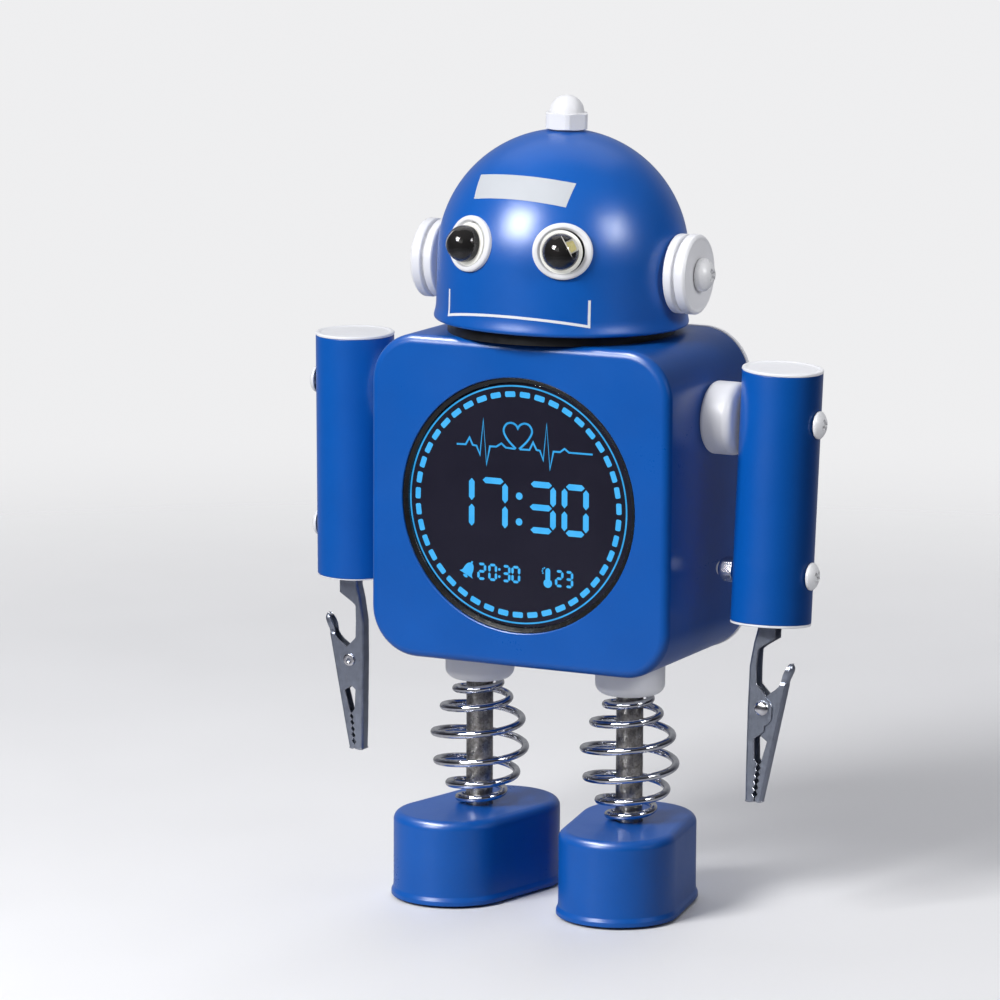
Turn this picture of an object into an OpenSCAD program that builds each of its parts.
// Desk alarm clock in the form of a retro toy robot.
// Square body with a round display, domed head that turns on a centre stud,
// arms that swing at the shoulders and end in alligator clips, two sprung legs
// on swivelling feet. Millimetres, +Z up, the robot faces -Y, the floor is Z = 0.
// The robot's left side is +X.

/* [Body] */
// Width of the body case
body_w = 100; // [92:0.5:110]
// Height of the body case
body_h = 99.6; // [92:0.2:110]
// Depth of the painted shell without the back cover
body_d = 58; // [50:0.5:70]
// Corner radius of the case seen from the front
body_corner_r = 15; // [11:0.5:20]
// Rounding of the front edge
body_edge_r = 5; // [3:0.5:7]
// Sheet thickness of the case
body_wall = 1.5; // [1:0.1:2]
// Height of the body centre above the floor
body_z = 126.6; // [124:0.2:132]
// Radius of the display opening
display_r = 39; // [30:0.5:41]
// Depth of the panel behind the case's front face
panel_recess = 2.2; // [1.6:0.1:4]
// Thickness of the back cover
cover_t = 1.4; // [1.2:0.1:2]

/* [Head] */
// Radius of the head shell
head_r = 38.2; // [34:0.2:41]
// Height of the head's lower lip above the floor
head_base_z = 180.1; // [180.1:0.1:182]
// Height of the centre of the dome above the floor
dome_z = 200.3; // [196:0.1:206]
// Sheet thickness of the head
head_wall = 1.2; // [0.8:0.1:1.6]
// Turn of the head at rest, towards the robot's left
head_yaw = 2; // [-20:1:20]
// Angle of each eye from the middle of the face
eye_az = 24; // [20:0.5:30]
// Elevation of the eyes on the dome
eye_el = 8.6; // [4:0.2:14]
// Outer radius of an eye bezel
eye_ring_r = 9.3; // [8.4:0.1:10]
// Radius of an eye lens
eye_lens_r = 5.8; // [4.6:0.1:6]
// Height of the ear axis above the floor
ear_z = 196.8; // [194:0.1:200]
// Radius of an ear disc
ear_r = 12; // [9:0.2:13]

/* [Arms] */
// Distance of each arm's centre line from the middle of the body
arm_x = 72; // [70:0.5:76]
// Offset of the shoulder axis behind the middle of the body
arm_y = 2.3; // [-4:0.1:6]
// Height of the shoulder axis above the floor
shoulder_z = 153.2; // [148:0.2:158]
// Radius of an arm tube
arm_r = 12.2; // [11:0.1:13]
// Wall of an arm tube
arm_wall = 1; // [0.8:0.1:1.4]
// Top of the arm above the shoulder axis
arm_up = 17.8; // [15:0.1:22]
// Bottom of the arm below the shoulder axis
arm_down = 58.9; // [56:0.1:62]
// Distance of the clip screw below the shoulder axis
clip_screw_down = 45.5; // [42:0.5:48]
// Distance of the clip's rivet below the shoulder axis
rivet_down = 86.4; // [80:0.1:90]
// Forward swing of the left arm at rest
swing_left = 5; // [-10:1:30]
// Forward swing of the right arm at rest
swing_right = -1; // [-10:1:30]

/* [Legs] */
// Distance of each leg from the middle of the body
leg_x = 25.6; // [24.5:0.1:28]
// Offset of the legs behind the middle of the body
leg_y = -3; // [-6:0.5:6]
// Radius of a leg post
post_r = 4.15; // [3.5:0.05:4.5]
// Radius of a leg cup
cup_r = 10.7; // [9:0.1:12]
// Height of a leg cup
cup_h = 10; // [8:0.5:12]
// Mean radius of the spring's widest coil
spring_mid_r = 14.3; // [10:0.1:16]
// Mean radius of the spring's end coils
spring_end_r = 6.4; // [6:0.1:8]
// Radius of the spring wire
spring_wire_r = 1.15; // [0.6:0.05:1.3]
// Number of coils
spring_turns = 5.75; // [4:0.25:6]
// Length of a foot, heel to toe
foot_l = 60.5; // [52:0.5:64]
// Width of a foot
foot_w = 36.3; // [30:0.1:36.6]
// Height of the top of a foot
foot_h = 27; // [24:0.5:30]
// Rounding of a foot's top edge
foot_edge_r = 5; // [3:0.5:6]
// Turn of the left foot at rest, toe outwards
yaw_left = 10.75; // [0:0.25:20]
// Turn of the right foot at rest, toe outwards
yaw_right = 12.75; // [0:0.25:20]

/* [Hidden] */
$fn = 64;
origin_y = 1.52;           // moves the robot so that the origin is the middle of its box
fit = 0.02;                // gap between parts that touch
cover_gap = 0.05;          // gap between the shell and the back cover
front_y = -(body_d + cover_t + 0.1)/2;
back_y = front_y + body_d;
cover_back_y = back_y + cover_gap + cover_t;
body_top = body_z + body_h/2;
body_bot = body_z - body_h/2;
stud_r = 3.95;
stud_hole_r = stud_r + 0.1;
screw_r = 2;               // shoulder, clip and ear screws
m8_across = 13;
m8_h = 6.5;
small_nut_across = 7;      // nuts on the shoulder and clip screws

BLUE = [0.05, 0.36, 0.75];
WHITE = [0.93, 0.93, 0.94];
STEEL = [0.72, 0.74, 0.77];
BLACK = [0.08, 0.08, 0.10];
BOARD_GREEN = [0.1, 0.42, 0.2];
CELL_GOLD = [0.78, 0.62, 0.2];
LED_YELLOW = [0.9, 0.85, 0.5];
CLEAR_WINDOW = [0.75, 0.85, 0.9, 0.35];
SMOKED_LENS = [0.1, 0.1, 0.12, 0.8];

// ---------- placing: s is 1 for the robot's left, -1 for its right ----------
module at_body() translate([0, origin_y, 0]) children();
module at_head() at_body() rotate([0, 0, head_yaw]) children();
// local +Z points out of the dome at the eye
module eye_axis(s) translate([0, 0, dome_z]) rotate([0, 0, s*eye_az])
  rotate([-eye_el, 0, 0]) rotate([90, 0, 0]) children();
module at_eye(s) at_head() eye_axis(s) children();
// local +Z points sideways out of the head
module ear_axis(s) translate([0, 0, ear_z]) rotate([0, s*90, 0]) children();
module at_ear(s) at_head() ear_axis(s) children();
// local +Z points sideways out of the body
module shoulder_axis(s) translate([0, arm_y, shoulder_z]) rotate([0, s*90, 0]) children();
// local origin on the shoulder axis, local +X points away from the body
module at_arm(s) at_body() translate([s*arm_x, arm_y, shoulder_z])
  rotate([s > 0 ? -swing_left : -swing_right, 0, 0]) rotate([0, 0, s > 0 ? 0 : 180]) children();
// local origin on the clip's rivet
module at_clip(s) at_arm(s) translate([s > 0 ? -0.6 : 1.6, 0, -rivet_down]) children();
module at_leg(s) at_body() translate([s*leg_x, leg_y, 0]) children();
module at_foot(s) at_leg(s) rotate([0, 0, s > 0 ? yaw_left : -yaw_right]) children();

// ---------- shared shapes ----------
// cylinders along Y from a given place
module rod_forward(place, r, h) translate(place) rotate([90, 0, 0]) cylinder(r = r, h = h);
module rod_backward(place, r, h) translate(place) rotate([-90, 0, 0]) cylinder(r = r, h = h);
module ring(inner_r, outer_r, height) difference() {
  cylinder(r = outer_r, h = height);
  translate([0, 0, -1]) cylinder(r = inner_r, h = height + 2);
}
module hexagon(across, height) cylinder(r = across/2/cos(30), h = height, $fn = 6);
// hexagon nut with a plain bore and chamfered corners, base on Z = 0
module nut(across, height, bore_r) {
  flat_r = across/2 - 0.1;
  corner_r = across/2/cos(30) + 0.1;
  chamfer = across*0.07;
  difference() {
    intersection() {
      hexagon(across, height);
      rotate_extrude() polygon([[0, 0], [flat_r, 0], [corner_r, chamfer],
        [corner_r, height - chamfer], [flat_r, height], [0, height]]);
    }
    translate([0, 0, -1]) cylinder(r = bore_r, h = height + 2);
  }
}
// pan head with a cross recess, flat side on Z = 0; rim is the height of its straight edge
module pan_head(diameter, height, rim, slot) {
  crown = height - rim;
  crown_r = (diameter*diameter/4 + crown*crown)/(2*crown);
  difference() {
    intersection() {
      cylinder(r = diameter/2, h = height);
      translate([0, 0, height - crown_r]) sphere(r = crown_r);
    }
    for (turn = [0, 90]) rotate([0, 0, turn])
      translate([-diameter*0.27, -slot/2, height - diameter*0.16])
        cube([diameter*0.54, slot, diameter]);
  }
}
// rectangle with its far corner (width, 0) rounded; edge_r = 0 leaves it square
module edge_profile(width, depth, edge_r) {
  if (edge_r <= 0) square([width, depth]);
  else difference() {
    square([width, depth]);
    difference() {
      translate([width - edge_r, -1]) square([edge_r + 1, edge_r + 1]);
      translate([width - edge_r, edge_r]) circle(r = edge_r);
      translate([width - edge_r - 1, edge_r]) square([edge_r + 3, 1]);
    }
  }
}
// rounded square block, front face on Y = 0, growing towards +Y
module rounded_block(width, height, depth, corner_r, edge_r) {
  flat_w = width - 2*corner_r;
  flat_h = height - 2*corner_r;
  translate([-flat_w/2, 0, -flat_h/2]) cube([flat_w, depth, flat_h]);
  for (m = [0, 1]) {
    mirror([0, 0, m]) translate([0, 0, flat_h/2]) rotate([0, -90, 0])
      linear_extrude(height = flat_w, center = true) edge_profile(corner_r, depth, edge_r);
    mirror([m, 0, 0]) translate([flat_w/2, 0, 0])
      linear_extrude(height = flat_h, center = true) edge_profile(corner_r, depth, edge_r);
    for (k = [0, 1]) mirror([m, 0, 0]) mirror([0, 0, k])
      translate([flat_w/2, 0, -flat_h/2]) rotate([-90, 0, 0])
        rotate_extrude(angle = 90) edge_profile(corner_r, depth, edge_r);
  }
}
// racetrack block, long axis along Y, top edge rounded
module racetrack(length, width, bottom, top, edge_r) {
  translate([0, 0, top]) mirror([0, 0, 1]) for (m = [0, 1]) {
    mirror([0, m, 0]) translate([0, length/2 - width/2, 0])
      rotate_extrude(angle = 180) edge_profile(width/2, top - bottom, edge_r);
    mirror([m, 0, 0]) rotate([90, 0, 0])
      linear_extrude(height = length - width, center = true)
        edge_profile(width/2, top - bottom, edge_r);
  }
}

// ---------- round wire along a path ----------
function unit(v) = v/norm(v);
function polar(angle, radius, height) = [radius*cos(angle), radius*sin(angle), height];
// one ring of points round each path point, started from that point's normal
function wire_points(path, normals, radius, sides) = [for (i = [0 : len(path) - 1])
  let (tangent = unit(path[min(i + 1, len(path) - 1)] - path[max(i - 1, 0)]),
       normal = unit(normals[i] - (normals[i]*tangent)*tangent),
       binormal = cross(tangent, normal))
  for (j = [0 : sides - 1])
    path[i] + radius*(cos(360*j/sides)*normal + sin(360*j/sides)*binormal)];
module wire(path, normals, radius, sides) polyhedron(
  points = wire_points(path, normals, radius, sides),
  faces = concat(
    [[for (j = [0 : sides - 1]) j]],
    [[for (j = [sides - 1 : -1 : 0]) (len(path) - 1)*sides + j]],
    [for (i = [0 : len(path) - 2]) for (j = [0 : sides - 1])
      [i*sides + j, (i + 1)*sides + j, (i + 1)*sides + (j + 1)%sides, i*sides + (j + 1)%sides]]));

// ---------- body ----------
lug_x = 41;
lug_z = 40.8;              // above and below the body centre
door_w = 56;
door_h = 38;
door_gap = 0.25;
cell_r = 5.2;
cell_l = 44.5;
cell_y = 21.6;
cell_z = body_z - 14;      // middle cell
cell_pitch = 11.2;
contact_t = 0.4;
box_front_y = cell_y - cell_r - 0.4;
buzzer_z = body_z + 17;
buzzer_r = 10;
button_z = body_z + 34;
button_x = [-27, -9, 9, 27];
button_r = 3.5;
button_flange_r = 4.6;

// the case's outline, inset all round
module body_block(inset, y, depth, edge_r) translate([0, y, body_z])
  rounded_block(body_w - 2*inset, body_h - 2*inset, depth, body_corner_r - inset, edge_r);
module lug_places() for (x = [-1, 1], z = [-1, 1])
  translate([x*lug_x, 0, body_z + z*lug_z]) children();

module front_shell() color(BLUE) at_body() difference() {
  union() {
    difference() {
      body_block(0, front_y, body_d, body_edge_r);
      body_block(body_wall, front_y + body_wall, body_d + 5, body_edge_r - body_wall);
    }
    // lugs that take the back cover's screws
    lug_places() rod_forward([0, back_y - 2.1, 0], r = 5.2, h = 8);
  }
  lug_places() rod_forward([0, back_y, 0], r = 1.5, h = 14);
  rod_backward([0, front_y - 1, body_z], r = display_r, h = 5);
  translate([0, 0, body_top - 5]) cylinder(r = stud_hole_r, h = 10);
  for (s = [-1, 1]) {
    translate([s*leg_x, leg_y, body_bot - 1]) cylinder(r = post_r + 0.1, h = 5);
    shoulder_axis(s) translate([0, 0, body_w/2 - 5]) cylinder(r = screw_r + 0.1, h = 10);
  }
}

// block on the battery door's outline, grown by margin all round
module door_block(margin, y, depth)
  translate([-door_w/2 - margin, y, cell_z - door_h/2 - margin])
    cube([door_w + 2*margin, depth, door_h + 2*margin]);

module back_cover() {
  box_wall = 1.2;
  root_y = back_y + 0.1;   // inner features reach into the plate as far as this
  rim_gap = 0.15;
  rim_t = 1.2;
  hole_r = 0.9;
  color(WHITE) at_body() difference() {
    union() {
      body_block(-0.25, back_y + cover_gap, cover_t, 0);
      // rim that locates the cover inside the shell
      difference() {
        body_block(body_wall + rim_gap, back_y - 1.9, 2, 0);
        body_block(body_wall + rim_gap + rim_t, back_y - 4, 4.05, 0);
      }
      // battery box
      door_block(0.7, box_front_y - box_wall, root_y - box_front_y + box_wall);
      // sleeves for the buttons
      for (x = button_x) rod_forward([x, root_y, button_z], r = 5.6, h = 3.2);
      // collar for the buzzer
      rod_forward([0, root_y, buzzer_z], r = 11.2, h = 3);
    }
    // battery box, open to the back, with a seat for the door
    door_block(-0.8, box_front_y, 30);
    door_block(0, back_y - 0.6, 5);
    for (x = button_x) {
      rod_forward([x, back_y + 5, button_z], r = button_r + 0.1, h = 12);
      rod_forward([x, back_y - 1.2, button_z], r = button_flange_r + 0.2, h = 12);
    }
    rod_forward([0, back_y - 0.2, buzzer_z], r = buzzer_r + 0.1, h = 10);
    // sound holes
    translate([0, back_y + 5, buzzer_z]) rotate([90, 0, 0]) {
      cylinder(r = hole_r, h = 10);
      for (a = [0 : 60 : 300]) rotate([0, 0, a]) translate([4, 0, 0])
        cylinder(r = hole_r, h = 10);
    }
    lug_places() rod_forward([0, back_y + 5, 0], r = 1.7, h = 12);
  }
}
module cover_screws() color(STEEL) at_body() lug_places()
  translate([0, cover_back_y + fit, 0]) rotate([-90, 0, 0]) {
    pan_head(diameter = 5.4, height = 1.9, rim = 0.5, slot = 0.8);
    translate([0, 0, -9]) cylinder(r = 1.43, h = 9.3);
  }

// ---------- display and electronics ----------
bezel_bore_r = display_r - 1.5;
panel_r = bezel_bore_r - 0.06;
panel_y = front_y + panel_recess;
panel_t = 2.6;
board_y = panel_y + 6.4;
board_t = 1.6;
button_board_y = back_y - 9.4;
// boxes on the back of the main board: x, z from the body centre, width, depth, height
BOARD_BOXES = [[-7, -2, 14, 1.8, 14], [12, -20, 8, 1.5, 6], [-28, -24, 9, 5, 5]];

module display_bezel() color(BLACK) at_body() translate([0, 0, body_z]) rotate([-90, 0, 0])
  difference() {
    union() {
      translate([0, 0, front_y + 0.5]) cylinder(r = display_r - 0.06, h = 3);
      // flange behind the front sheet
      translate([0, 0, front_y + body_wall + 0.05]) cylinder(r = 43, h = 4.4);
    }
    translate([0, 0, front_y - 1]) cylinder(r = bezel_bore_r, h = 10);
    // sloping mouth of the ring
    translate([0, 0, front_y + 0.45]) cylinder(r1 = display_r - 0.4, r2 = bezel_bore_r, h = 0.9);
  }
module display_window() color(CLEAR_WINDOW) at_body()
  rod_backward([0, panel_y - 0.75, body_z], r = panel_r, h = 0.7);
module display_panel() color(BLACK) at_body() translate([0, panel_y, body_z])
  rotate([-90, 0, 0]) {
    cylinder(r = panel_r, h = panel_t);
    translate([-27, -25, panel_t]) cube([54, 50, 1.4]);
  }
module main_board() {
  board_w = 72;
  board_h = 64;
  spacer = [2.4, 2.35, 3];
  color(BOARD_GREEN) at_body() {
    difference() {
      translate([-board_w/2, board_y, body_z - board_h/2]) cube([board_w, board_t, board_h]);
      for (x = [-32, 32], z = [-28, 28])
        rod_forward([x, board_y + 5, body_z + z], r = 1.6, h = 10);
    }
    for (box = BOARD_BOXES)
      translate([box[0], board_y + board_t, body_z + box[1]]) cube([box[2], box[3], box[4]]);
    rod_backward([-20, board_y + board_t, body_z + 16], r = 3.1, h = 7);
    // small blocks between the board and the panel
    for (x = [-24, -12, 12, 24])
      translate([x - spacer.x/2, board_y - spacer.y, body_z - spacer.z/2]) cube(spacer);
  }
}
module button_board() {
  board_w = 68;
  board_h = 12;
  switch_w = 6;
  switch_d = 2.4;
  switch_y = button_board_y + board_t;
  color(BOARD_GREEN) at_body() {
    translate([-board_w/2, button_board_y, button_z - board_h/2])
      cube([board_w, board_t, board_h]);
    for (x = button_x) {
      translate([x - switch_w/2, switch_y, button_z - switch_w/2])
        cube([switch_w, switch_d, switch_w]);
      rod_backward([x, switch_y + switch_d, button_z], r = 1.7, h = 0.5);
    }
  }
}
module buzzer() color(BLACK) at_body() translate([0, back_y - 5.3, buzzer_z])
  rotate([-90, 0, 0]) difference() {
    cylinder(r = buzzer_r, h = 5);
    translate([0, 0, 3]) cylinder(r = 1.2, h = 5);
  }

// ---------- batteries ----------
// three cells side by side, local +Z towards the nub; the middle one is turned round
module cell_places() for (k = [-1, 0, 1])
  translate([0, cell_y, cell_z + k*cell_pitch]) rotate([0, k == 0 ? 90 : -90, 0]) children();
module battery_cells() {
  nub_h = 0.8;
  color(CELL_GOLD) at_body() cell_places() {
    translate([0, 0, -cell_l/2]) cylinder(r = cell_r, h = cell_l - nub_h);
    translate([0, 0, cell_l/2 - nub_h]) cylinder(r = 1.9, h = nub_h);
  }
}
// conical spring of three coils, narrowing upwards
module cell_spring(height) {
  steps = 42;
  sweep = 3*360;
  wire(
    path = [for (i = [0 : steps]) let (t = i/steps)
      polar(sweep*t, 3.6 - 2*t, 0.4 + (height - 0.8)*t)],
    normals = [for (i = [0 : steps]) polar(sweep*i/steps, 1, 0)],
    radius = 0.3, sides = 6);
}
module battery_contacts() {
  plate = [8.4, 8, contact_t];
  color(STEEL) at_body() cell_places() {
    for (z = [cell_l/2 + fit, -door_w/2 + 0.85])
      translate([-plate.x/2, -plate.y/2, z]) cube(plate);
    translate([0, 0, -door_w/2 + 1.2]) cell_spring(door_w/2 - 1.25 - cell_l/2);
  }
}
module battery_door() {
  groove_w = 16;
  rib_t = 1.2;
  color(WHITE) at_body() {
    translate([-door_w/2 + door_gap, back_y + cover_gap, cell_z - door_h/2 + door_gap])
      difference() {
        cube([door_w - 2*door_gap, cover_t, door_h - 2*door_gap]);
        // finger grooves
        for (i = [0 : 3]) translate([door_w/2 - groove_w/2, cover_t - 0.4, door_h - 9 + i*1.6])
          cube([groove_w, 1, 0.7]);
      }
    // ribs on the inner face
    for (x = [-16, 0, 16]) translate([x - rib_t/2, back_y - 0.5, cell_z - door_h/2 + 2])
      cube([rib_t, 0.6, door_h - 4]);
  }
}

// ---------- buttons ----------
// push button with a retaining flange, a stem and a dished face; Z = 0 is the cover's outside
module push_button(i) {
  base_z = -4.3;
  face_z = 1.1;
  dish_r = 8;
  dish_depth = 0.4;
  color(BLUE) at_body() translate([button_x[i], cover_back_y, button_z]) rotate([-90, 0, 0])
    difference() {
      union() {
        translate([0, 0, base_z]) cylinder(r = button_r, h = face_z - base_z);
        translate([0, 0, base_z]) cylinder(r = button_flange_r, h = 1.6);
        translate([0, 0, base_z - 1.1]) cylinder(r = 1.8, h = 1.2);
      }
      translate([0, 0, face_z + dish_r - dish_depth]) sphere(r = dish_r);
    }
}
module button_mode() push_button(0);
module button_set() push_button(1);
module button_up() push_button(2);
module button_alarm() push_button(3);

// ---------- neck ----------
collar_r = 34.6;
collar_rim_h = 3;
stud_top_z = 245.5;
stud_below = 11;           // length of the stud below the body's top
acorn_z = 238.35;

module neck_collar() color(BLACK) at_body() difference() {
  union() {
    translate([0, 0, body_top]) cylinder(r = collar_r, h = collar_rim_h);
    translate([0, 0, body_top + collar_rim_h])
      cylinder(r1 = collar_r, r2 = 33.4, h = head_base_z + 0.8 - body_top - collar_rim_h);
  }
  translate([0, 0, body_top - 1]) cylinder(r = stud_hole_r, h = 20);
  // relief over the edge of the back cover
  translate([-40, back_y, body_top - 1]) cube([80, 20, 1.3]);
}
module neck_stud() color(STEEL) at_body() translate([0, 0, body_top - stud_below])
  cylinder(r = stud_r, h = stud_top_z - body_top + stud_below);
// one under the body's top, one in the head, one on each leg in the body, one in each foot
module m8_nuts() color(STEEL) at_body() {
  for (z = [body_top - body_wall - m8_h - 0.05, head_base_z + 2.5])
    translate([0, 0, z]) nut(m8_across, m8_h, stud_r + fit);
  for (s = [-1, 1], z = [body_bot + body_wall + fit, foot_h - foot_wall - m8_h - 0.1])
    translate([s*leg_x, leg_y, z]) nut(m8_across, m8_h, post_r + fit);
}
module acorn_nut() {
  hex_h = 5.1;
  cap_r = 5.4;
  cap_z = 5.25;
  color(WHITE) at_body() translate([0, 0, acorn_z]) difference() {
    union() {
      intersection() {
        rotate([0, 0, 25]) hexagon(12.5, hex_h);
        rotate_extrude()
          polygon([[0, 0], [5.6, 0], [7.3, 1], [7.3, 4.3], [5.6, hex_h], [0, hex_h]]);
      }
      translate([0, 0, cap_z - 0.2]) cylinder(r = cap_r, h = 0.2);
      translate([0, 0, cap_z]) intersection() {
        sphere(r = cap_r);
        cylinder(r = 8, h = 8);
      }
    }
    translate([0, 0, -1]) cylinder(r = stud_r + fit, h = 8.3);
  }
}

// ---------- head ----------
head_inner_r = head_r - head_wall;
eye_tube_r = 7.2;
led_board_z = 31.4;        // along the eye axis
led_board_t = 1.2;
led_h = 1.6;
lens_z = 39.1;             // centre of the lens's ball along the eye axis
lens_wall = 0.7;
ear_inner = head_r + 0.05; // distances along the ear axis
ear_outer = 45.6;

// upper half ball on the dome's centre, reaching down past it by overlap
module dome(radius, overlap = 0) translate([0, 0, dome_z - overlap]) intersection() {
  translate([0, 0, overlap]) sphere(r = radius);
  cylinder(r = 50, h = 50);
}
module head_shell() {
  lip_r = 0.85;
  lip_z = head_base_z + 0.9;
  lip_top = head_base_z + 4.2;
  color(BLUE) at_head() difference() {
    union() {
      translate([0, 0, lip_z]) cylinder(r = head_r, h = dome_z - lip_z);
      dome(head_r);
      // flared and rounded lower lip
      rotate_extrude() polygon(concat(
        [[head_r - 2, lip_top], [head_r, lip_top]],
        [for (t = [10:-20:-190]) [head_r - 0.25 + lip_r*cos(t), lip_z + lip_r*sin(t)]],
        [[head_r - 2, lip_z]]));
    }
    translate([0, 0, head_base_z - 1]) cylinder(r = head_inner_r, h = dome_z - head_base_z + 1);
    dome(head_inner_r, 0.01);
    translate([0, 0, dome_z + 20]) cylinder(r = stud_hole_r, h = 30);
    for (s = [-1, 1]) {
      ear_axis(s) translate([0, 0, 20]) cylinder(r = screw_r + 0.1, h = 60);
      eye_axis(s) translate([0, 0, 20]) cylinder(r = eye_tube_r + 0.1, h = 60);
    }
  }
}
module head_base_plate() color(BLACK) at_head() translate([0, 0, head_base_z + 0.85])
  difference() {
    cylinder(r = head_inner_r - 0.05, h = 1.5);
    translate([0, 0, -1]) cylinder(r = stud_hole_r, h = 5);
    for (s = [-1, 1]) translate([s*14, 8, -1]) cylinder(r = 2, h = 5);
  }
module eye_bezel(s) {
  tube_z = 32;
  color(WHITE) at_eye(s) difference() {
    union() {
      // flange that follows the dome
      intersection() {
        difference() {
          sphere(r = head_r + 1.3);
          sphere(r = head_r + 0.2);
        }
        translate([0, 0, 30]) cylinder(r = eye_ring_r, h = 15);
      }
      translate([0, 0, tube_z]) cylinder(r = eye_tube_r, h = head_r - tube_z + 0.6);
    }
    translate([0, 0, 20]) cylinder(r = 6.6, h = 30);
    // flared mouth
    translate([0, 0, head_r - 1]) cylinder(r1 = 6.2, r2 = 7.4, h = 2.6);
  }
}
module eye_bezel_left() eye_bezel(1);
module eye_bezel_right() eye_bezel(-1);
// ball-ended rod standing on bottom
module lens_solid(radius, bottom) {
  translate([0, 0, lens_z]) sphere(r = radius);
  translate([0, 0, bottom]) cylinder(r = radius, h = lens_z - bottom);
}
// each lens sits 0.5 towards the middle of the face
module eye_lens(s) color(SMOKED_LENS) at_eye(s) translate([s*-0.5, 0, 0]) difference() {
  lens_solid(eye_lens_r, 33.1);
  lens_solid(eye_lens_r - lens_wall, 30);
}
module eye_lens_left() eye_lens(1);
module eye_lens_right() eye_lens(-1);
module eye_led(s) {
  led_w = 5;
  color(LED_YELLOW) at_eye(s) translate([0, 0, led_board_z]) {
    cylinder(r = 6.5, h = led_board_t);
    translate([-led_w/2, -led_w/2, led_board_t]) cube([led_w, led_w, led_h]);
    translate([0, 0, led_board_t + led_h]) cylinder(r = 1.6, h = 0.5);
  }
}
module eye_led_left() eye_led(1);
module eye_led_right() eye_led(-1);
module ear_disc(s) {
  bore_r = 2.06;
  wide = ear_r - bore_r;   // from the bore to the disc's nominal radius
  color(WHITE) at_ear(s) rotate_extrude() difference() {
    union() {
      translate([bore_r, ear_inner]) square([wide - 0.9, ear_outer - ear_inner]);
      translate([bore_r, ear_inner]) square([wide - 0.5, 3]);
      translate([bore_r, ear_inner + 0.3]) square([wide, 2.4]);
      translate([bore_r, 42]) square([wide + 0.1, 2.8]);
      translate([ear_r - 0.7, ear_outer - 0.8]) circle(r = 0.8);
    }
    // waist groove
    translate([ear_r - 1.3, 41.2]) square([3, 0.8]);
  }
}
module ear_disc_left() ear_disc(1);
module ear_disc_right() ear_disc(-1);
module ear_screws() color(WHITE) for (s = [-1, 1]) at_ear(s) {
  translate([0, 0, ear_outer + fit]) rotate([0, 0, 30])
    pan_head(diameter = 10, height = 4.6, rim = 1.6, slot = 1.1);
  translate([0, 0, 30]) cylinder(r = screw_r, h = 15.8);
}

// ---------- arms ----------
arm_inner_x = arm_x - arm_r;
arm_outer_x = arm_x + arm_r;
top_cap_t = 1.68;
bottom_cap_t = 0.88;

module arm_screw_head(turn) rotate([0, 0, turn])
  pan_head(diameter = 8.4, height = 2.6, rim = 0.8, slot = 1);
module shoulder_bosses() {
  bore_r = screw_r + 0.1;
  boss_w = 8.95;           // from the bore to the outside
  boss_h = arm_inner_x - body_w/2 - 0.06;
  outer_edge_r = 2.6;
  inner_edge_r = 1.5;
  face_w = 7.35;           // flat face at the arm, the rounding starts outside it
  color(WHITE) at_body() for (s = [-1, 1]) shoulder_axis(s)
    rotate_extrude() translate([bore_r, body_w/2 + 0.01]) difference() {
      square([boss_w, boss_h]);
      difference() {
        translate([face_w, boss_h - outer_edge_r]) square(4);
        translate([boss_w - outer_edge_r, boss_h - outer_edge_r]) circle(r = outer_edge_r);
      }
      difference() {
        translate([boss_w - inner_edge_r, inner_edge_r - 4]) square(4);
        translate([boss_w - inner_edge_r, inner_edge_r]) circle(r = inner_edge_r);
      }
    }
}
module shoulder_screws() {
  tip = 40;
  color(WHITE) at_body() for (s = [-1, 1]) shoulder_axis(s) {
    translate([0, 0, arm_outer_x + fit]) arm_screw_head(20);
    translate([0, 0, tip]) cylinder(r = screw_r, h = arm_outer_x - tip + 0.2);
  }
}
module shoulder_nuts() {
  nut_h = 3.2;
  color(STEEL) at_body() for (s = [-1, 1]) shoulder_axis(s)
    translate([0, 0, body_w/2 - body_wall - nut_h - 0.05])
      nut(small_nut_across, nut_h, screw_r + fit);
}
module arm_tube(s) color(BLUE) at_arm(s) difference() {
  translate([0, 0, -arm_down + bottom_cap_t + fit])
    ring(arm_r - arm_wall, arm_r, arm_up + arm_down - top_cap_t - bottom_cap_t - 2*fit);
  for (z = [0, -clip_screw_down]) translate([0, 0, z]) rotate([0, 90, 0])
    translate([0, 0, -20]) cylinder(r = screw_r + 0.05, h = 40);
}
module arm_tube_left() arm_tube(1);
module arm_tube_right() arm_tube(-1);
// profile of the skirt that holds a cap inside the tube
module cap_skirt(z, height) translate([arm_r - arm_wall - 1.3, z]) square([1.2, height]);
module arm_top_cap(s) {
  edge_r = 0.7;
  color(WHITE) at_arm(s) rotate_extrude() {
    translate([0, arm_up - top_cap_t]) square([arm_r - 0.6, top_cap_t]);
    translate([0, arm_up - top_cap_t]) square([arm_r + 0.1, 1]);
    translate([arm_r - 0.6, arm_up - edge_r]) circle(r = edge_r);
    cap_skirt(arm_up - 7, 6);
  }
}
module arm_top_cap_left() arm_top_cap(1);
module arm_top_cap_right() arm_top_cap(-1);
module arm_bottom_cap(s) color(WHITE) at_arm(s) difference() {
  rotate_extrude() {
    translate([0, -arm_down]) square([arm_r, bottom_cap_t]);
    cap_skirt(-arm_down + 0.5, 5.5);
  }
  // slot for the clip's stem
  translate([-5.4, -3.6, -arm_down - 1]) cube([10.8, 7.2, 5]);
}
module arm_bottom_cap_left() arm_bottom_cap(1);
module arm_bottom_cap_right() arm_bottom_cap(-1);
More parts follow.
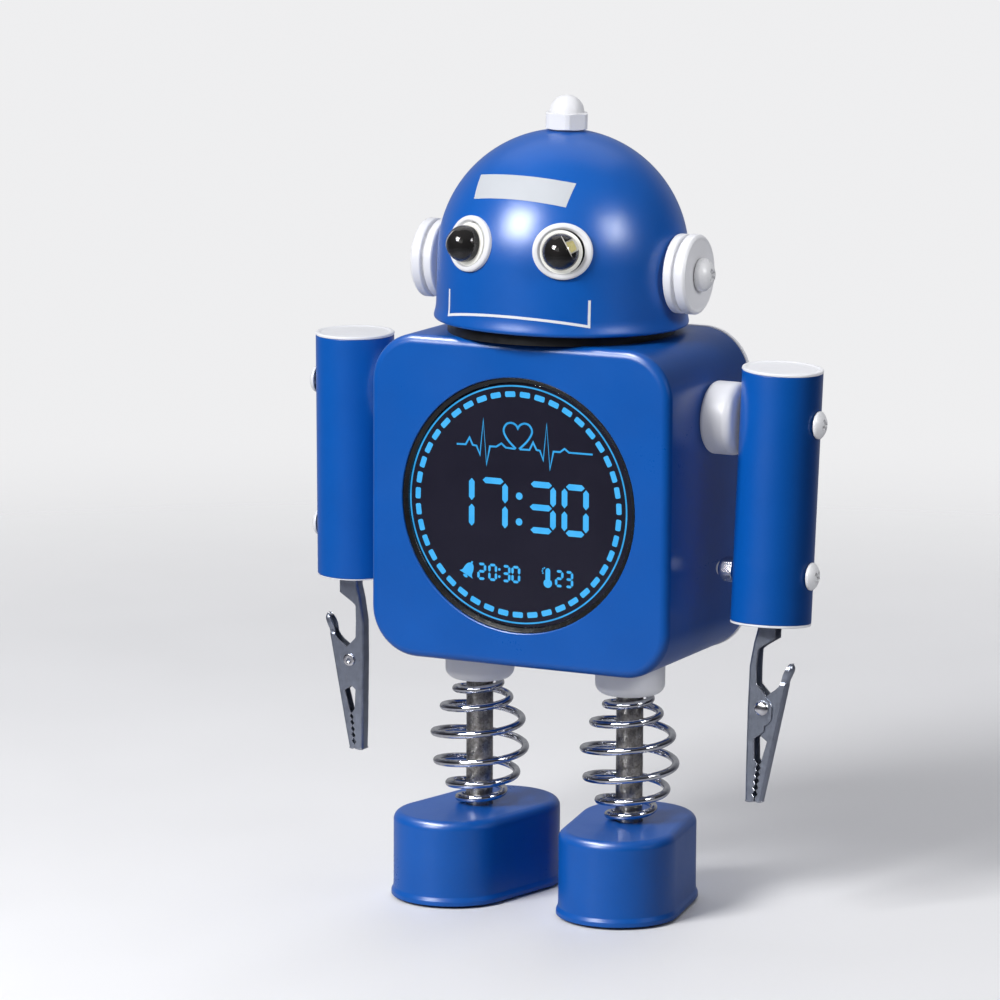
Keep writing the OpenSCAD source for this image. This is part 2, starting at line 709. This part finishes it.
module clip_screw(s) color(WHITE) at_arm(s) translate([0, 0, -clip_screw_down])
  rotate([0, 90, 0]) {
    translate([0, 0, arm_r + fit]) arm_screw_head(35);
    translate([0, 0, -arm_r - 6]) cylinder(r = screw_r, h = 2*arm_r + 6.3);
  }
module clip_screw_left() clip_screw(1);
module clip_screw_right() clip_screw(-1);
module clip_locknut(s) color(STEEL) at_arm(s) translate([0, 0, -clip_screw_down])
  rotate([0, -90, 0]) translate([0, 0, arm_r + fit]) {
    nut(small_nut_across, 3.6, screw_r + fit);
    // stepped collar
    translate([0, 0, 3.5]) rotate_extrude() translate([screw_r + fit, 0]) difference() {
      square([1.2, 1.4]);
      translate([0.8, 1]) square(1);
    }
  }
module clip_locknut_left() clip_locknut(1);
module clip_locknut_right() clip_locknut(-1);

// ---------- alligator clip: x away from the body, z up, rivet along y ----------
// Outlines are [x, z] points from the rivet's axis.
clip_t = 0.45;             // sheet thickness of the flanges
jaw_y = 2.3;               // outside of the jaw's flanges
lever_y = 1.75;            // outside of the lever's flanges
rivet_r = 1;

module plate_xz(y0, y1) translate([0, y1, 0]) rotate([90, 0, 0])
  linear_extrude(height = y1 - y0) children();
// plate across the whole clip, and a pair of plates at its sides
module web(half_w) plate_xz(-half_w, half_w) children();
module flanges(half_w) for (m = [0, 1]) mirror([0, m, 0])
  plate_xz(half_w - clip_t, half_w) children();
module rivet_hole() translate([0, 10, 0]) rotate([90, 0, 0])
  cylinder(r = rivet_r + 0.06, h = 20);
// zigzag from one point to another, its tips offset by depth in x
function teeth(x0, z0, x1, z1, count, depth) = [for (i = [0 : 2*count]) let (t = i/(2*count))
  [x0 + (x1 - x0)*t + (i%2 == 1 ? depth : 0), z0 + (z1 - z0)*t]];

JAW_FLANGE = concat(
  [[-4.9, 12.5], [-2.4, 12.5], [-2.1, 7.2], [1.1, 4], [1.1, -7], [-2, -9.4],
    [-1.6, -15.7], [-0.2, -17.2]],
  teeth(-0.5, -17.2, -1.3, -27.2, 5, -0.7),
  [[-1.4, -28.2], [-4.3, -28.2]]);
JAW_WEB = [[-4.9, 12.5], [-4.4, 12.5], [-4.4, 0], [-3.85, -28.2], [-4.3, -28.2], [-4.9, 0]];
JAW_NOSE = [[-4.3, -28.2], [-3.85, -27.6], [-1.7, -27.8], [-1.4, -28.2],
  [-1.7, -28.6], [-3.9, -28.7]];
NECK_WEB = [[-4.9, 12.4], [-4.4, 12.4], [-3.3, 19.7], [-2.3, 23.8], [-2.3, 29.2],
  [-2.8, 29.2], [-2.8, 23.9], [-3.8, 19.7]];
NECK_FLANGE = [[-4.9, 12.4], [-2.4, 12.4], [-2.2, 17.6], [-0.9, 18.7], [3.3, 21.4],
  [3.3, 29.4], [-2.8, 29.4], [-2.8, 23.9], [-3.8, 19.7]];
STEM = [[-2.8, 29.1], [-2.3, 29.1], [-1.1, 33.2], [-1.1, 44.8], [-1.6, 44.8], [-1.6, 33.2]];
LEVER_FLANGE = concat(
  [[1.6, 4.2], [5.6, 6.5], [6.9, 8.2], [7.5, 8.2], [0.9, -28.2], [-1.1, -28.2]],
  teeth(-1.1, -27.2, -0.3, -17.2, 5, 0.7),
  [[0.2, -17.2], [2, -10], [-0.4, -8.3], [-1.4, -3]]);
LEVER_WEB = [[7.5, 8], [7.05, 8], [0.45, -28.2], [0.9, -28.2]];
LEVER_NOSE = [[0.9, -28.2], [0.5, -27.6], [-0.9, -27.8], [-1.15, -28.2],
  [-0.9, -28.6], [0.6, -28.7]];
FINGER_PAD = [[6.9, 7.2], [7.4, 7.2], [7.9, 9], [9.3, 13.2], [8.9, 14.1], [8.3, 13.9],
  [8.6, 13.1], [7.3, 9.2]];

// fixed jaw, with the neck and stem that hold it in the arm
module clip_jaw(s) color(STEEL) at_clip(s) difference() {
  union() {
    flanges(jaw_y) {
      polygon(JAW_FLANGE);
      circle(r = 3.3);
      translate([0.2, -2.2]) circle(r = 3.1);
    }
    for (outline = [JAW_WEB, JAW_NOSE, NECK_WEB, STEM]) web(jaw_y) polygon(outline);
    flanges(jaw_y) polygon(NECK_FLANGE);
  }
  rivet_hole();
  translate([-10, 0, rivet_down - clip_screw_down]) rotate([0, 90, 0])
    cylinder(r = screw_r + 0.05, h = 20);
}
module clip_jaw_left() clip_jaw(1);
module clip_jaw_right() clip_jaw(-1);
module clip_lever(s) color(STEEL) at_clip(s) difference() {
  union() {
    flanges(lever_y) {
      polygon(LEVER_FLANGE);
      circle(r = 2.6);
    }
    for (outline = [LEVER_WEB, LEVER_NOSE]) web(lever_y) polygon(outline);
    web(lever_y + 0.5) polygon(FINGER_PAD);
  }
  rivet_hole();
}
module clip_lever_left() clip_lever(1);
module clip_lever_right() clip_lever(-1);
module clip_rivet(s) {
  head_h = 1.15;
  crown_r = 2.75;
  roll_h = 0.55;
  color(STEEL) at_clip(s) rotate([90, 0, 0]) difference() {
    union() {
      translate([0, 0, -jaw_y - 0.5]) cylinder(r = rivet_r, h = 2*jaw_y + 1);
      // domed head
      translate([0, 0, jaw_y + fit]) intersection() {
        cylinder(r = 2.2, h = 2);
        translate([0, 0, head_h - crown_r]) sphere(r = crown_r);
      }
      // rolled end
      rotate_extrude() translate([0.9, -jaw_y - fit - roll_h]) {
        square([0.75, roll_h]);
        translate([0.75, roll_h/2]) circle(r = roll_h/2);
      }
    }
    translate([0, 0, -jaw_y - 2]) cylinder(r = 0.6, h = 5);
  }
}
module clip_rivet_left() clip_rivet(1);
module clip_rivet_right() clip_rivet(-1);
// torsion spring: coils round the rivet, one leg to the jaw's web and one to the lever's
module clip_spring(s) {
  coil_r = 1.75;
  half_w = 0.95;
  start = 160;
  sweep = -(3*360 + 130);
  steps = 60;
  path = concat(
    [[-4, -half_w, 6]],
    [for (i = [0 : steps]) let (t = i/steps, a = start + sweep*t)
      [coil_r*cos(a), -half_w + 2*half_w*t, coil_r*sin(a)]],
    [[5.4, half_w, 4.2]]);
  color(STEEL) at_clip(s)
    wire(path, normals = [for (p = path) [0, 1, 0]], radius = 0.27, sides = 6);
}
module clip_spring_left() clip_spring(1);
module clip_spring_right() clip_spring(-1);

// ---------- legs and feet ----------
foot_wall = 1.3;
post_bottom_z = 14;
spring_gap = 0.05;         // above and below each spring
spring_h = body_bot - cup_h - foot_h - 2*spring_wire_r - 2*spring_gap;

module leg_cups() {
  bore_r = post_r + 0.1;
  cup_w = cup_r - bore_r;
  edge_r = 3.4;
  color(WHITE) for (s = [-1, 1]) at_leg(s)
    rotate_extrude() translate([bore_r, body_bot - cup_h]) difference() {
      square([cup_w, cup_h - fit]);
      // rounded lower edge
      difference() {
        translate([cup_w - edge_r, -1]) square([5, edge_r + 1]);
        translate([cup_w - edge_r, edge_r]) circle(r = edge_r);
      }
    }
}
module leg_posts() color(STEEL) for (s = [-1, 1]) at_leg(s)
  translate([0, 0, post_bottom_z]) cylinder(r = post_r, h = body_bot - post_bottom_z + 10);
// barrel spring, its coils closer together at both ends; t runs from 0 at the foot to 1
function coil_radius(t) =
  spring_end_r + (spring_mid_r - spring_end_r)*pow(max(sin(180*t), 0), 1.8);
function coil_height(t) = spring_h*(t - 0.4*sin(360*t)/(2*PI));
function coil_angle(t) = 150 + 360*spring_turns*t;
module leg_springs() {
  steps = round(spring_turns*24);
  color(STEEL) for (s = [-1, 1]) at_leg(s)
    translate([0, 0, foot_h + spring_wire_r + spring_gap]) wire(
      path = [for (i = [0 : steps]) let (t = i/steps)
        polar(coil_angle(t), coil_radius(t), coil_height(t))],
      normals = [for (i = [0 : steps]) polar(coil_angle(i/steps), 1, 0)],
      radius = spring_wire_r, sides = 8);
}
// the foot's outline, inset all round; its middle lies toe_shift ahead of the post
toe_shift = 1;
module foot_block(inset, bottom, top, edge_r) translate([0, -toe_shift, 0])
  racetrack(foot_l - 2*inset, foot_w - 2*inset, bottom, top, edge_r);
module foot(s) color(BLUE) at_foot(s) difference() {
  union() {
    foot_block(0, 0.8, foot_h, foot_edge_r);
    // bead round the lower edge
    foot_block(-0.7, 0.8, 2.6, 0.7);
  }
  foot_block(foot_wall, -1, foot_h - foot_wall, foot_edge_r - foot_wall);
  translate([0, 0, 10]) cylinder(r = post_r + 0.05, h = 30);
}
module foot_left() foot(1);
module foot_right() foot(-1);
module foot_pad(s) color(BLACK) at_foot(s) foot_block(foot_wall + 0.1, 0, 2.2, 0);
module foot_pad_left() foot_pad(1);
module foot_pad_right() foot_pad(-1);

front_shell();
back_cover();
cover_screws();
display_bezel();
display_window();
display_panel();
main_board();
button_board();
buzzer();
battery_cells();
battery_contacts();
battery_door();
button_mode();
button_set();
button_up();
button_alarm();
neck_collar();
neck_stud();
m8_nuts();
acorn_nut();
shoulder_bosses();
shoulder_screws();
shoulder_nuts();
leg_cups();
leg_posts();
leg_springs();
head_shell();
head_base_plate();
eye_bezel_left();
eye_bezel_right();
eye_lens_left();
eye_lens_right();
eye_led_left();
eye_led_right();
ear_disc_left();
ear_disc_right();
ear_screws();
arm_tube_left();
arm_tube_right();
arm_top_cap_left();
arm_top_cap_right();
arm_bottom_cap_left();
arm_bottom_cap_right();
clip_screw_left();
clip_screw_right();
clip_locknut_left();
clip_locknut_right();
clip_jaw_left();
clip_jaw_right();
clip_lever_left();
clip_lever_right();
clip_rivet_left();
clip_rivet_right();
clip_spring_left();
clip_spring_right();
foot_left();
foot_right();
foot_pad_left();
foot_pad_right();
